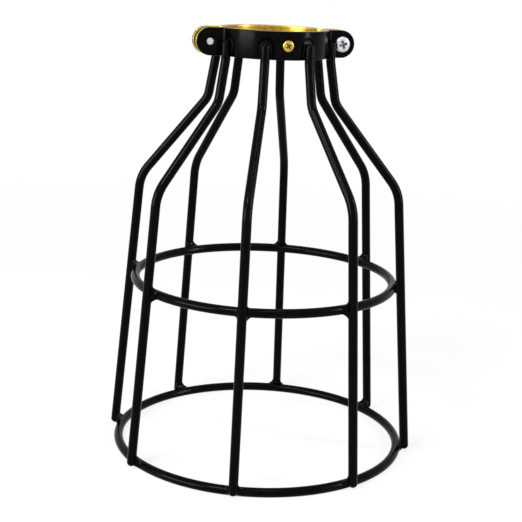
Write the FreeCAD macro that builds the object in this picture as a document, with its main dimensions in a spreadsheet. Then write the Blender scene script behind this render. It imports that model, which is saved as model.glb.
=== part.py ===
import FreeCAD
import Part
import math
import os
import Sketcher
from enum import IntEnum
from FreeCAD import Placement, Rotation, Vector

# Bulb cage guard: eight bent rib wires and two rings, welded up and hung from a clamp collar.
# The collar is two equal halves, a half turn apart. Each half is a black strap with a thin liner
# inside it, held by one small screw, and the ears of the halves are drawn together by two clamp screws.
# Millimetres, +Z up. The guard stands on its bottom ring at Z = 0, with the ears along X.

SIZES = (
    ("wire_diameter", 3.5, "coated wire of the ribs and rings"),
    ("wire_end_rounding", 1.3, "rounded rim at both ends of a rib"),
    ("weld_set_down", 0.2, "depth to which a rib sinks into what it is welded to"),
    ("rib_pairs", 2, "pairs of ribs on each half collar"),
    ("shoulder_height", 105.0, "shoulder corner above the ground"),
    ("foot_spread", 9.0, "growth in radius from the shoulder corner to the bottom ring"),
    ("flare_height", 32.0, "neck corner above the shoulder corner"),
    ("flare_spread", 25.9, "growth in radius from the neck corner to the shoulder corner"),
    ("neck_height", 16.75, "lower edge of the collar above the neck corner"),
    ("neck_spread", 2.65, "growth in radius from the collar to the neck corner"),
    ("seat_drop", 1.0, "upright end of a rib below the lower edge of the collar"),
    ("seat_bend", 4.0, "bend under the collar"),
    ("neck_bend", 9.0, "bend at the neck corner"),
    ("shoulder_bend", 16.0, "bend at the shoulder corner"),
    ("rib_top_rise", 5.9, "upper end of a rib above the lower edge of the collar"),
    ("rib_foot_drop", 0.5, "lower end of a rib below the middle of the bottom ring"),
    ("middle_ring_drop", 37.4, "middle ring below the shoulder corner"),
    ("collar_radius", 20.7, "outer face of the collar"),
    ("strap_width", 10.3, "height of the collar"),
    ("strap_thickness", 1.4, "black strap"),
    ("strap_rounding", 0.35, "outer edges of the black strap"),
    ("liner_thickness", 0.8, "liner"),
    ("ear_gap", 5.0, "space between the ears of the two liners"),
    ("ear_reach", 25.2, "clamp screws from the axis of the guard"),
    ("ear_bend", 1.5, "outer corner between the half ring and an ear"),
    ("dent_width", 5.8, "pressed seat behind each rib"),
    ("dent_rise", 7.7, "top of a pressed seat above the lower edge of the collar"),
    ("dent_depth", 0.5, "depth of a pressed seat"),
    ("clamp_screw_diameter", 3.0, "shank of a clamp screw"),
    ("clamp_screw_play", 0.2, "width that its clearance holes add"),
    ("clamp_head_diameter", 6.0, "head of a clamp screw"),
    ("clamp_head_height", 2.2, "head of a clamp screw"),
    ("clamp_head_rounding", 1.3, "rim of that head"),
    ("clamp_tip_recess", 0.6, "screw tip inside the outer face of the far ear"),
    ("clamp_recess_span", 3.2, "cross recess from tip to tip"),
    ("clamp_recess_slot", 0.85, "cross recess across one arm"),
    ("clamp_recess_depth", 1.2, "cross recess"),
    ("liner_screw_diameter", 2.5, "shank of a liner screw"),
    ("liner_head_diameter", 4.2, "head of a liner screw"),
    ("liner_head_height", 1.2, "head of a liner screw"),
    ("liner_head_rounding", 0.6, "rim of that head"),
    ("liner_tip_recess", 0.1, "screw tip inside the bore of the liner"),
    ("liner_recess_span", 2.4, "cross recess from tip to tip"),
    ("liner_recess_slot", 0.6, "cross recess across one arm"),
    ("liner_recess_depth", 0.7, "cross recess"),
    ("dimple_diameter", 6.0, "dimple round a liner screw"),
    ("dimple_depth", 0.5, "dimple round a liner screw"),
    ("overcut", 2.0, "length by which a cut runs past the solid"),
)

# Heights and radii that follow from the sizes
RING_HEIGHT = "(Sizes.wire_diameter / 2)"
MIDDLE_RING_HEIGHT = "(Sizes.shoulder_height - Sizes.middle_ring_drop)"
NECK_HEIGHT = "(Sizes.shoulder_height + Sizes.flare_height)"
COLLAR_LOW = f"({NECK_HEIGHT} + Sizes.neck_height)"
COLLAR_MIDDLE = f"({COLLAR_LOW} + Sizes.strap_width / 2)"
SEAT_RADIUS = "(Sizes.collar_radius - Sizes.dent_depth)"
RIB_SEAT_RADIUS = f"({SEAT_RADIUS} - Sizes.weld_set_down + Sizes.wire_diameter / 2)"
NECK_RADIUS = f"({RIB_SEAT_RADIUS} + Sizes.neck_spread)"
SHOULDER_RADIUS = f"({NECK_RADIUS} + Sizes.flare_spread)"
FOOT_SLOPE = f"(Sizes.foot_spread / (Sizes.shoulder_height - {RING_HEIGHT}))"

# A ring lies inside the ribs, one wire less the set-down from their sloping axis
RING_INSET = f"((Sizes.wire_diameter - Sizes.weld_set_down) / cos(atan({FOOT_SLOPE})))"

# The straps lie one inside the other: outer face of the half ring, outer face of the ears, ear bend
STRAP_LAYER = {
    "radius": "Sizes.collar_radius",
    "ear": "(Sizes.ear_gap / 2 + Sizes.liner_thickness + Sizes.strap_thickness)",
    "bend": "Sizes.ear_bend",
    "thickness": "Sizes.strap_thickness",
}
LINER_LAYER = {
    "radius": "(Sizes.collar_radius - Sizes.strap_thickness)",
    "ear": "(Sizes.ear_gap / 2 + Sizes.liner_thickness)",
    "bend": "(Sizes.ear_bend + Sizes.strap_thickness)",
    "thickness": "Sizes.liner_thickness",
}

# Screws and their holes: a clamp screw spans both pairs of ears, a liner screw one strap and liner
CLAMP_CLEARANCE = "(Sizes.clamp_screw_diameter + Sizes.clamp_screw_play)"
CLAMP_SCREW_LENGTH = f"(2 * {STRAP_LAYER['ear']} - Sizes.clamp_tip_recess)"
DIMPLE_RADIUS = "(Sizes.collar_radius - Sizes.dimple_depth)"
LINER_SCREW_LENGTH = (
    "(Sizes.strap_thickness + Sizes.liner_thickness - Sizes.dimple_depth - Sizes.liner_tip_recess)"
)

# The ribs of one half collar, and the first and last of them from the middle of that half
RIBS_PER_HALF = "(2 * round(Sizes.rib_pairs))"
HALF_SPAN = (f"(90 / {RIBS_PER_HALF} - 90)", f"(90 - 90 / {RIBS_PER_HALF})")
HALF_TURN = Rotation(Vector(0, 0, 1), 180)

# An edge lies at a level if it is no further from it than this share of the size at hand
NEARNESS = 0.1

# Sketch vocabulary


class EdgePoint(IntEnum):
    """The points of a sketch edge, as constraints number them."""

    START = 1
    END = 2
    CENTRE = 3


class SketchAxis(IntEnum):
    """The axes of a sketch, as constraints number them. The first starts at the origin."""

    HORIZONTAL = -1
    VERTICAL = -2


START, END, CENTRE = EdgePoint
ORIGIN = (SketchAxis.HORIZONTAL, START)

document = FreeCAD.newDocument("BulbCageGuard")
sizes = document.addObject("Spreadsheet::Sheet", "Sizes")


def fill_sheet():
    """Writes each driving size, with its alias, to a row of the sheet."""
    for row, (alias, value, meaning) in enumerate(SIZES, start=1):
        sizes.set(f"A{row}", meaning)
        sizes.set(f"B{row}", str(value))
        sizes.setAlias(f"B{row}", alias)
    document.recompute()


def measure(expression):
    """The number that an expression over the sheet stands for."""
    return float(sizes.evalExpression(expression))


# Sketches


def add_body(name):
    """An empty body whose label is its name."""
    body = document.addObject("PartDesign::Body", name)
    body.Label = name
    return body


def origin_feature(body, role):
    """A plane or axis of the body's own origin."""
    return next(feature for feature in body.Origin.OriginFeatures if feature.Role == role)


def add_sketch(body, name, role, rise="0", turn=0.0):
    """A sketch on an origin plane, raised along its normal and turned about its own upright axis."""
    sketch = body.newObject("Sketcher::SketchObject", name)
    sketch.AttachmentSupport = [(origin_feature(body, role), "")]
    sketch.MapMode = "FlatFace"
    rotation = Rotation(Vector(0, 1, 0), turn)
    normal = rotation.multVec(Vector(0, 0, 1))
    sketch.AttachmentOffset = Placement(normal * measure(rise), rotation)
    for axis in "xyz":
        share = getattr(normal, axis)
        sketch.setExpression(f"AttachmentOffset.Base.{axis}", f"{rise} * {share:.12f}")
    return sketch


def bind(sketch, constraint, expression):
    """Adds a dimension to a sketch and ties it to the sheet."""
    index = sketch.addConstraint(constraint)
    sketch.setExpression(f"Constraints[{index}]", expression)


def fix_coordinate(sketch, kind, edge, point, expression):
    """Ties one coordinate of a point to an expression of either sign, or holds it on its axis."""
    value = measure(expression)
    if expression == "0":
        axis = SketchAxis.VERTICAL if kind == "DistanceX" else SketchAxis.HORIZONTAL
        sketch.addConstraint(Sketcher.Constraint("PointOnObject", edge, point, axis))
    elif value < 0:
        bind(sketch, Sketcher.Constraint(kind, edge, point, *ORIGIN, -value), f"-({expression})")
    else:
        bind(sketch, Sketcher.Constraint(kind, *ORIGIN, edge, point, value), expression)


def fix_point(sketch, edge, point, across, up):
    """Ties both coordinates of a point."""
    fix_coordinate(sketch, "DistanceX", edge, point, across)
    fix_coordinate(sketch, "DistanceY", edge, point, up)


def add_polygon(sketch, corners):
    """A closed outline of straight edges, each corner tied by its coordinates."""
    points = [Vector(measure(across), measure(up), 0) for across, up in corners]
    edges = [
        sketch.addGeometry(Part.LineSegment(start, end), False)
        for start, end in zip(points, points[1:] + points[:1])
    ]
    for edge, following in zip(edges, edges[1:] + edges[:1]):
        sketch.addConstraint(Sketcher.Constraint("Coincident", edge, END, following, START))
    for edge, (across, up) in zip(edges, corners):
        fix_point(sketch, edge, START, across, up)


def add_circle(sketch, across, up, diameter):
    """A circle tied by its centre and diameter."""
    centre = Vector(measure(across), measure(up), 0)
    circle = sketch.addGeometry(Part.Circle(centre, Vector(0, 0, 1), measure(diameter) / 2), False)
    bind(sketch, Sketcher.Constraint("Diameter", circle, measure(diameter)), diameter)
    fix_point(sketch, circle, CENTRE, across, up)


def arc_between(centre, radius, first, last):
    """The shorter arc about a centre, and which of its ends lies at the first point."""
    spoke_first = first - centre
    spoke_last = last - centre
    angle_first = math.atan2(spoke_first.y, spoke_first.x)
    angle_last = math.atan2(spoke_last.y, spoke_last.x)
    leftward = spoke_first.cross(spoke_last).z > 0
    circle = Part.Circle(centre, Vector(0, 0, 1), radius)
    if leftward:
        return Part.ArcOfCircle(circle, angle_first, angle_last), START, END
    return Part.ArcOfCircle(circle, angle_last, angle_first), END, START


def add_bent_path(sketch, corners, bends):
    """Straight runs through the corners, with a tangent arc of the given radius at each inner corner."""
    points = [Vector(measure(across), measure(up), 0) for across, up in corners]
    ahead = [(end - start).normalize() for start, end in zip(points, points[1:])]
    run_start = points[0]
    previous = None
    for index, bend in enumerate(bends, start=1):
        radius = measure(bend)
        into, out = ahead[index - 1], ahead[index]
        half_turn = into.getAngle(out) / 2
        trim = radius * math.tan(half_turn)
        first = points[index] - into * trim
        last = points[index] + out * trim
        centre = points[index] + (out - into).normalize() * (radius / math.cos(half_turn))
        run = sketch.addGeometry(Part.LineSegment(run_start, first), False)
        arc_curve, near, far = arc_between(centre, radius, first, last)
        arc = sketch.addGeometry(arc_curve, False)
        if previous:
            sketch.addConstraint(Sketcher.Constraint("Tangent", *previous, run, START))
        sketch.addConstraint(Sketcher.Constraint("Tangent", run, END, arc, near))
        bind(sketch, Sketcher.Constraint("Radius", arc, radius), bend)
        previous = (arc, far)
        run_start = last
    final = sketch.addGeometry(Part.LineSegment(run_start, points[-1]), False)
    sketch.addConstraint(Sketcher.Constraint("Tangent", *previous, final, START))
    fix_point(sketch, 0, START, *corners[0])
    fix_point(sketch, final, END, *corners[-1])
    for index, corner in enumerate(corners[1:-1], start=1):
        mark = sketch.addGeometry(Part.Point(points[index]), True)
        run_before = 2 * (index - 1)
        sketch.addConstraint(Sketcher.Constraint("PointOnObject", mark, START, run_before))
        sketch.addConstraint(Sketcher.Constraint("PointOnObject", mark, START, run_before + 2))
        fix_point(sketch, mark, START, *corner)


# Features


def add_pipe(body, name, profile, path):
    """Sweeps a profile along every edge of a path."""
    document.recompute()
    pipe = body.newObject("PartDesign::AdditivePipe", name)
    pipe.Profile = profile
    pipe.Spine = (path, [f"Edge{index + 1}" for index in range(len(path.Shape.Edges))])
    document.recompute()
    return pipe


def add_pocket(body, name, sketch, depth=None, outward=False):
    """Cuts a sketch to a depth along or against its normal, or both ways right through."""
    document.recompute()
    before = body.Shape.Volume
    pocket = body.newObject("PartDesign::Pocket", name)
    pocket.Profile = sketch
    pocket.Reversed = outward
    if depth is None:
        pocket.Type = "ThroughAll"
        pocket.Midplane = True
    else:
        pocket.Type = "Length"
        pocket.setExpression("Length", depth)
    document.recompute()
    if body.Shape.Volume >= before:
        raise RuntimeError(f"{pocket.Label} cuts nothing")
    return pocket


def round_edges(body, name, feature, edges, radius):
    """Fillets the named edges of a feature."""
    fillet = body.newObject("PartDesign::Fillet", name)
    fillet.Base = (feature, edges)
    fillet.setExpression("Radius", radius)
    document.recompute()
    return fillet


def round_edge_names(shape, wanted):
    """Names of the circular edges of a shape that pass a test on their curve."""
    return [
        f"Edge{index}"
        for index, edge in enumerate(shape.Edges, start=1)
        if isinstance(edge.Curve, Part.Circle) and wanted(edge.Curve)
    ]


def place(part, across="0", depth="0", up="0", turn=Rotation()):
    """Puts a sub-part at a point that is tied to the sheet."""
    part.Placement = Placement(Vector(measure(across), measure(depth), measure(up)), turn)
    for axis, expression in zip("xyz", (across, depth, up)):
        part.setExpression(f"Placement.Base.{axis}", expression)


# Wire cage


def rib_angles():
    """Angles of the ribs about the axis from the right ear, evenly spaced and clear of the ears."""
    count = 2 * round(measure(RIBS_PER_HALF))
    step = 360.0 / count
    return [(index + 0.5) * step for index in range(count)]


def make_rib(name, angle):
    """One rib: an upright end on the collar, a sloping neck, the flare and the long lower run."""
    rib = add_body(name)
    top = f"({COLLAR_LOW} + Sizes.rib_top_rise)"
    foot = f"({RING_HEIGHT} - Sizes.rib_foot_drop)"
    foot_radius = f"({SHOULDER_RADIUS} + {FOOT_SLOPE} * (Sizes.shoulder_height - {foot}))"
    path = add_sketch(rib, f"{name}_path", "XZ_Plane")
    add_bent_path(
        path,
        (
            (RIB_SEAT_RADIUS, top),
            (RIB_SEAT_RADIUS, f"{COLLAR_LOW} - Sizes.seat_drop"),
            (NECK_RADIUS, NECK_HEIGHT),
            (SHOULDER_RADIUS, "Sizes.shoulder_height"),
            (foot_radius, foot),
        ),
        ("Sizes.seat_bend", "Sizes.neck_bend", "Sizes.shoulder_bend"),
    )
    section = add_sketch(rib, f"{name}_section", "XY_Plane", rise=top)
    add_circle(section, RIB_SEAT_RADIUS, "0", "Sizes.wire_diameter")
    pipe = add_pipe(rib, f"{name}_wire", section, path)
    levels = (measure(top), measure(foot))
    reach = measure("Sizes.wire_diameter") * NEARNESS
    ends = round_edge_names(
        pipe.Shape, lambda curve: min(abs(curve.Center.z - level) for level in levels) < reach
    )
    round_edges(rib, f"{name}_ends", pipe, ends, "Sizes.wire_end_rounding")
    place(rib, turn=Rotation(Vector(0, 0, 1), angle))
    return rib


def cut_to_ribs(name, blank, ribs):
    """Lets the ribs into a ring or a strap, so that the welded faces meet."""
    seated = document.addObject("Part::Cut", name)
    seated.Label = name
    seated.Base = blank
    seated.Tool = ribs
    document.recompute()
    return seated


def make_ring(name, ribs, height):
    """A wire ring inside the ribs, notched where it is welded to them."""
    hoop = document.addObject("Part::Torus", f"{name}_hoop")
    rib_radius = f"({SHOULDER_RADIUS} + {FOOT_SLOPE} * (Sizes.shoulder_height - {height}))"
    hoop.setExpression("Radius1", f"{rib_radius} - {RING_INSET}")
    hoop.setExpression("Radius2", "Sizes.wire_diameter / 2")
    place(hoop, up=height)
    return cut_to_ribs(name, hoop, ribs)


# Clamp collar


def add_strap(half, name, layer):
    """A strip bent to a half ring with an ear at each end, rounded about the screw holes."""
    thickness = layer["thickness"]
    ear_end = "(Sizes.ear_reach + Sizes.strap_width / 2)"
    ear_line = f"({layer['ear']} - {thickness} / 2)"
    ring_radius = f"({layer['radius']} - {thickness} / 2)"
    bend_radius = f"({layer['bend']} + {thickness} / 2)"
    path = add_sketch(half, f"{name}_path", "XY_Plane", rise=COLLAR_MIDDLE)
    add_strap_path(path, ear_end, ear_line, ring_radius, bend_radius)
    section = add_sketch(half, f"{name}_section", "YZ_Plane", rise=f"-{ear_end}")
    add_polygon(
        section,
        (
            (f"-{layer['ear']}", COLLAR_LOW),
            (f"-({layer['ear']} - {thickness})", COLLAR_LOW),
            (f"-({layer['ear']} - {thickness})", f"{COLLAR_LOW} + Sizes.strap_width"),
            (f"-{layer['ear']}", f"{COLLAR_LOW} + Sizes.strap_width"),
        ),
    )
    add_pipe(half, f"{name}_strip", section, path)
    rounding = add_sketch(half, f"{name}_rounding", "XZ_Plane")
    add_slot(rounding, "Sizes.ear_reach", COLLAR_MIDDLE, "Sizes.strap_width")
    reach = f"({ear_end} + Sizes.overcut)"
    add_polygon(
        rounding,
        (
            (f"-{reach}", f"{COLLAR_LOW} - Sizes.overcut"),
            (reach, f"{COLLAR_LOW} - Sizes.overcut"),
            (reach, f"{COLLAR_LOW} + Sizes.strap_width + Sizes.overcut"),
            (f"-{reach}", f"{COLLAR_LOW} + Sizes.strap_width + Sizes.overcut"),
        ),
    )
    return add_pocket(half, f"{name}_ear_ends", rounding)


def add_strap_path(sketch, ear_end, ear_line, ring_radius, bend_radius):
    """The strip's middle line in plan: ear, bend, half ring, bend and ear."""
    end, line, radius, bend = (measure(size) for size in (ear_end, ear_line, ring_radius, bend_radius))
    corner = math.sqrt((radius + bend) ** 2 - (line + bend) ** 2)
    share = radius / (radius + bend)
    tangent = Vector(corner * share, -(line + bend) * share, 0)
    mirrored = Vector(-tangent.x, tangent.y, 0)
    centres = (Vector(-corner, -line - bend, 0), Vector(corner, -line - bend, 0))
    left_bend, left_in, left_out = arc_between(centres[0], bend, Vector(-corner, -line, 0), mirrored)
    right_bend, right_in, right_out = arc_between(centres[1], bend, tangent, Vector(corner, -line, 0))
    start_angle = math.atan2(mirrored.y, mirrored.x)
    end_angle = math.atan2(tangent.y, tangent.x)
    half_ring = Part.ArcOfCircle(Part.Circle(Vector(), Vector(0, 0, 1), radius), start_angle, end_angle)
    left_ear = Part.LineSegment(Vector(-end, -line, 0), Vector(-corner, -line, 0))
    right_ear = Part.LineSegment(Vector(corner, -line, 0), Vector(end, -line, 0))
    ear_a, bend_a, ring, bend_b, ear_b = (
        sketch.addGeometry(curve, False) for curve in (left_ear, left_bend, half_ring, right_bend, right_ear)
    )
    joints = (
        (ear_a, END, bend_a, left_in),
        (bend_a, left_out, ring, START),
        (ring, END, bend_b, right_in),
        (bend_b, right_out, ear_b, START),
    )
    for joint in joints:
        sketch.addConstraint(Sketcher.Constraint("Tangent", *joint))
    sketch.addConstraint(Sketcher.Constraint("Coincident", ring, CENTRE, *ORIGIN))
    sketch.addConstraint(Sketcher.Constraint("Horizontal", ear_a))
    sketch.addConstraint(Sketcher.Constraint("Horizontal", ear_b))
    bind(sketch, Sketcher.Constraint("Radius", ring, radius), ring_radius)
    for arc in (bend_a, bend_b):
        bind(sketch, Sketcher.Constraint("Radius", arc, bend), bend_radius)
    fix_point(sketch, ear_a, START, f"-{ear_end}", f"-{ear_line}")
    fix_point(sketch, ear_b, END, ear_end, f"-{ear_line}")


def add_slot(sketch, reach, height, width):
    """A long outline with round ends about two centres at the same height."""
    across, up, radius = measure(reach), measure(height), measure(width) / 2
    circles = [Part.Circle(Vector(side * across, up, 0), Vector(0, 0, 1), radius) for side in (1, -1)]
    right = sketch.addGeometry(Part.ArcOfCircle(circles[0], -math.pi / 2, math.pi / 2), False)
    left = sketch.addGeometry(Part.ArcOfCircle(circles[1], math.pi / 2, 3 * math.pi / 2), False)
    top = sketch.addGeometry(
        Part.LineSegment(Vector(across, up + radius, 0), Vector(-across, up + radius, 0)), False
    )
    bottom = sketch.addGeometry(
        Part.LineSegment(Vector(-across, up - radius, 0), Vector(across, up - radius, 0)), False
    )
    for joint in ((right, END, top, START), (top, END, left, START), (left, END, bottom, START)):
        sketch.addConstraint(Sketcher.Constraint("Tangent", *joint))
    sketch.addConstraint(Sketcher.Constraint("Tangent", bottom, END, right, START))
    sketch.addConstraint(Sketcher.Constraint("Equal", right, left))
    bind(sketch, Sketcher.Constraint("Radius", right, radius), f"{width} / 2")
    fix_point(sketch, right, CENTRE, reach, height)
    fix_point(sketch, left, CENTRE, f"-{reach}", height)


def add_rib_seats(half, name):
    """Arched dents pressed into the strap's outer face, one behind each rib and open below."""
    first, last = HALF_SPAN
    dent = add_sketch(half, f"{name}_seat", "XZ_Plane", rise=SEAT_RADIUS, turn=measure(first))
    sill = f"({COLLAR_LOW} - Sizes.overcut)"
    spring = f"({COLLAR_LOW} + Sizes.dent_rise - Sizes.dent_width / 2)"
    add_arch(dent, "Sizes.dent_width / 2", sill, spring)
    pocket = add_pocket(half, f"{name}_seat_dent", dent, "Sizes.dent_depth + Sizes.overcut", outward=True)
    pattern = half.newObject("PartDesign::PolarPattern", f"{name}_seats")
    pattern.Originals = [pocket]
    pattern.Axis = (origin_feature(half, "Z_Axis"), [""])
    pattern.setExpression("Angle", f"{last} - {first}")
    pattern.setExpression("Occurrences", RIBS_PER_HALF)
    half.Tip = pattern
    document.recompute()


def add_arch(sketch, half_width, sill, spring):
    """A round arch on two upright sides, closed by a sill."""
    across, low, high = measure(half_width), measure(sill), measure(spring)
    crown = Part.ArcOfCircle(Part.Circle(Vector(0, high, 0), Vector(0, 0, 1), across), 0, math.pi)
    arch = sketch.addGeometry(crown, False)
    corners = [Vector(x, y, 0) for x, y in ((-across, high), (-across, low), (across, low), (across, high))]
    left, base, right = (
        sketch.addGeometry(Part.LineSegment(start, end), False) for start, end in zip(corners, corners[1:])
    )
    sketch.addConstraint(Sketcher.Constraint("Tangent", arch, END, left, START))
    sketch.addConstraint(Sketcher.Constraint("Tangent", right, END, arch, START))
    sketch.addConstraint(Sketcher.Constraint("Coincident", left, END, base, START))
    sketch.addConstraint(Sketcher.Constraint("Coincident", base, END, right, START))
    sketch.addConstraint(Sketcher.Constraint("Vertical", left))
    sketch.addConstraint(Sketcher.Constraint("Vertical", right))
    sketch.addConstraint(Sketcher.Constraint("Horizontal", base))
    bind(sketch, Sketcher.Constraint("Radius", arch, across), half_width)
    fix_point(sketch, arch, CENTRE, "0", spring)
    fix_coordinate(sketch, "DistanceY", base, START, sill)


def add_holes(half, name, holes):
    """Round holes through the strap along Y, each given by its place across and its diameter."""
    sketch = add_sketch(half, f"{name}_hole_marks", "XZ_Plane")
    for across, diameter in holes:
        add_circle(sketch, across, COLLAR_MIDDLE, diameter)
    add_pocket(half, f"{name}_holes", sketch)


def make_collar(name, ribs, turn):
    """A black half collar: strap, screw holes, the dimple at its middle and the seats of its ribs."""
    half = add_body(f"{name}_strap")
    strap = add_strap(half, name, STRAP_LAYER)
    outer = measure("Sizes.collar_radius")
    reach = measure("Sizes.strap_thickness") * NEARNESS
    rim = round_edge_names(strap.Shape, lambda curve: abs(curve.Radius - outer) < reach)
    round_edges(half, f"{name}_edges", strap, rim, "Sizes.strap_rounding")
    add_holes(
        half,
        name,
        (
            ("Sizes.ear_reach", CLAMP_CLEARANCE),
            ("-Sizes.ear_reach", CLAMP_CLEARANCE),
            ("0", "Sizes.liner_screw_diameter"),
        ),
    )
    dimple = add_sketch(half, f"{name}_dimple_mark", "XZ_Plane", rise=DIMPLE_RADIUS)
    add_circle(dimple, "0", COLLAR_MIDDLE, "Sizes.dimple_diameter")
    add_pocket(half, f"{name}_dimple", dimple, "Sizes.dimple_depth + Sizes.overcut", outward=True)
    add_rib_seats(half, name)
    place(half, turn=turn)
    return cut_to_ribs(name, half, ribs)


def make_liner(name, turn):
    """A liner: the same strap one layer further in, tapped in its left ear and at its middle."""
    liner = add_body(name)
    add_strap(liner, name, LINER_LAYER)
    add_holes(
        liner,
        name,
        (
            ("Sizes.ear_reach", CLAMP_CLEARANCE),
            ("-Sizes.ear_reach", "Sizes.clamp_screw_diameter"),
            ("0", "Sizes.liner_screw_diameter"),
        ),
    )
    place(liner, turn=turn)
    return liner


# Screws


def make_screw(name, kind, length):
    """A pan-head screw along Z with a cross recess, its head standing on Z = 0."""
    screw = add_body(name)
    head = f"Sizes.{kind}_head_diameter / 2"
    shank = f"Sizes.{kind}_screw_diameter / 2"
    height = f"Sizes.{kind}_head_height"
    outline = add_sketch(screw, f"{name}_outline", "XZ_Plane")
    add_polygon(
        outline,
        (("0", f"-{length}"), (shank, f"-{length}"), (shank, "0"), (head, "0"), (head, height), ("0", height)),
    )
    turned = screw.newObject("PartDesign::Revolution", f"{name}_turned")
    turned.Profile = outline
    turned.ReferenceAxis = (outline, ["V_Axis"])
    document.recompute()
    top = measure(height)
    rim = round_edge_names(turned.Shape, lambda curve: abs(curve.Center.z - top) < top * NEARNESS)
    round_edges(screw, f"{name}_rim", turned, rim, f"Sizes.{kind}_head_rounding")
    recess = add_sketch(screw, f"{name}_cross", "XY_Plane", rise=height)
    arm = f"Sizes.{kind}_recess_span / 2"
    side = f"Sizes.{kind}_recess_slot / 2"
    quarter = ((arm, f"-{side}"), (arm, side), (side, side))
    add_polygon(recess, [turned_corner(corner, turns) for turns in range(4) for corner in quarter])
    add_pocket(screw, f"{name}_recess", recess, f"Sizes.{kind}_recess_depth")
    return screw


def turned_corner(corner, quarter_turns):
    """A corner's two coordinate expressions after some quarter turns about the origin."""
    across, up = corner
    for _ in range(quarter_turns):
        across, up = (up[1:] if up.startswith("-") else f"-{up}"), across
    return across, up


def place_screw(screw, across, depth, rear):
    """Lays a screw along Y with its head outside, at the front or, half a turn on, at the rear."""
    facing = Rotation(Vector(1, 0, 0), 90)
    if rear:
        place(screw, f"-{across}", depth, COLLAR_MIDDLE, HALF_TURN.multiply(facing))
    else:
        place(screw, across, f"-{depth}", COLLAR_MIDDLE, facing)


# Assembly


def check_and_write(parts):
    """Refuses a failed object or a bad solid, then writes each sub-part to its own file."""
    document.recompute()
    for item in document.Objects:
        if {"Invalid", "Error"} & set(item.State):
            raise RuntimeError(f"{item.Label} failed: {item.State}")
    for part in parts:
        if part.Shape.isNull() or not part.Shape.isValid() or len(part.Shape.Solids) != 1:
            raise RuntimeError(f"{part.Label} is not one valid solid")
    os.makedirs("parts", exist_ok=True)
    for part in parts:
        part.Shape.exportStep(os.path.join("parts", f"{part.Label}.step"))
        print(f"{part.Label}: {part.Shape.Volume:.1f} cubic mm")


def main():
    """Builds the cage, the two halves of the collar and their screws."""
    fill_sheet()
    rib_wires = [make_rib(f"rib_wire_{index}", angle) for index, angle in enumerate(rib_angles(), start=1)]
    ribs = document.addObject("Part::Compound", "ribs")
    ribs.Links = rib_wires
    parts = list(rib_wires)
    parts.append(make_ring("middle_ring", ribs, MIDDLE_RING_HEIGHT))
    parts.append(make_ring("bottom_ring", ribs, RING_HEIGHT))
    for end, turn in (("front", Rotation()), ("rear", HALF_TURN)):
        parts.append(make_collar(f"{end}_collar", ribs, turn))
        parts.append(make_liner(f"{end}_liner", turn))
        liner_screw = make_screw(f"{end}_liner_screw", "liner", LINER_SCREW_LENGTH)
        place_screw(liner_screw, "0", DIMPLE_RADIUS, rear=end == "rear")
        parts.append(liner_screw)
    for end, rear in (("right", False), ("left", True)):
        clamp_screw = make_screw(f"{end}_clamp_screw", "clamp", CLAMP_SCREW_LENGTH)
        place_screw(clamp_screw, "Sizes.ear_reach", STRAP_LAYER["ear"], rear)
        parts.append(clamp_screw)
    check_and_write(parts)


main()
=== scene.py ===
"""Bulb cage guard, dressed for a studio picture.

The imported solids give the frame. Over them come smooth bent wire, weld fillets, pressed collar straps
with their liners, and screws with recess and thread. Each gets its finish, and then come the floor,
the light and the camera. The guard's sizes are in millimetres and become metres where a mesh is made.
"""

import sys
import logging
import math
from dataclasses import dataclass
from enum import Enum
from typing import Callable, Mapping, Sequence

import bmesh
import bpy
from mathutils import Matrix, Vector


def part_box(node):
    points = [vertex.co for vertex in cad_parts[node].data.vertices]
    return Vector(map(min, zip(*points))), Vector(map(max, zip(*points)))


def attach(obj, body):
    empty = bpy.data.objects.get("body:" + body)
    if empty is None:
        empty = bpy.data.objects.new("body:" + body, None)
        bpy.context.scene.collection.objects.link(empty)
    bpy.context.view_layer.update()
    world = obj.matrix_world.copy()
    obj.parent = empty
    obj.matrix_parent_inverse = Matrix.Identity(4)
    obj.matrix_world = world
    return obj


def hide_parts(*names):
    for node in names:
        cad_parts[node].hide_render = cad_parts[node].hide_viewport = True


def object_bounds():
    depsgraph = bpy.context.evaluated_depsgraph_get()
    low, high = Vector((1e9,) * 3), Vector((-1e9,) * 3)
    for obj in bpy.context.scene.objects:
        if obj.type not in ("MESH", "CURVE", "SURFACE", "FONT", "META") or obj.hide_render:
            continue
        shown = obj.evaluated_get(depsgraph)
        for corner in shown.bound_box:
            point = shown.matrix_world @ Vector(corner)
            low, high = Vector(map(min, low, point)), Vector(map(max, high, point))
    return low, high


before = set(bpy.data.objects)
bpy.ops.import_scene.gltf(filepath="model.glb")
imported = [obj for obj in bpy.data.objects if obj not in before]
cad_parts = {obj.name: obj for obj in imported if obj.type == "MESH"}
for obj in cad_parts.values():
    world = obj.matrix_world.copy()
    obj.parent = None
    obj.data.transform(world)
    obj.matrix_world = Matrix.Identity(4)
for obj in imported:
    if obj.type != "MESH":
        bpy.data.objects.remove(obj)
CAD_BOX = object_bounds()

LOG = logging.getLogger("bulb_cage_guard")
MM = 0.001
BODY = "root"
COLLAR_WIDTH = 10.3  # height of the collar's straps, which the welds on them follow too
COLLAR_CROWN = 0.12  # how far their outer face falls away at its edges
SHARP_EDGE = math.radians(50.0)
# face mask of the screws' recesses, where the gold and zinc are darkened as painted shade
RECESS_SHADE_MASK = "recess"
NOISE_SPAN = (0.3, 0.7)  # where nearly all values of a noise pattern lie
MERGE_STEPS = 1e4  # corners are merged on a grid of so many steps to the millimetre
ROUND_PROFILE = 0.5  # profile of a bevel that is part of a circle
WHITE = (1.0, 1.0, 1.0, 1.0)

Colour = tuple[float, float, float]
Paint = tuple[float, float, float, float]
Place = tuple[float, float, float]
Ring = Callable[[float], tuple[float, float]]
Socket = bpy.types.NodeSocket


class Slot(Enum):
    """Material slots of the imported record."""

    BLACK_COAT = "black_powder_coat"
    GOLD = "gold_finish"
    ZINC = "zinc_plate"


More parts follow.
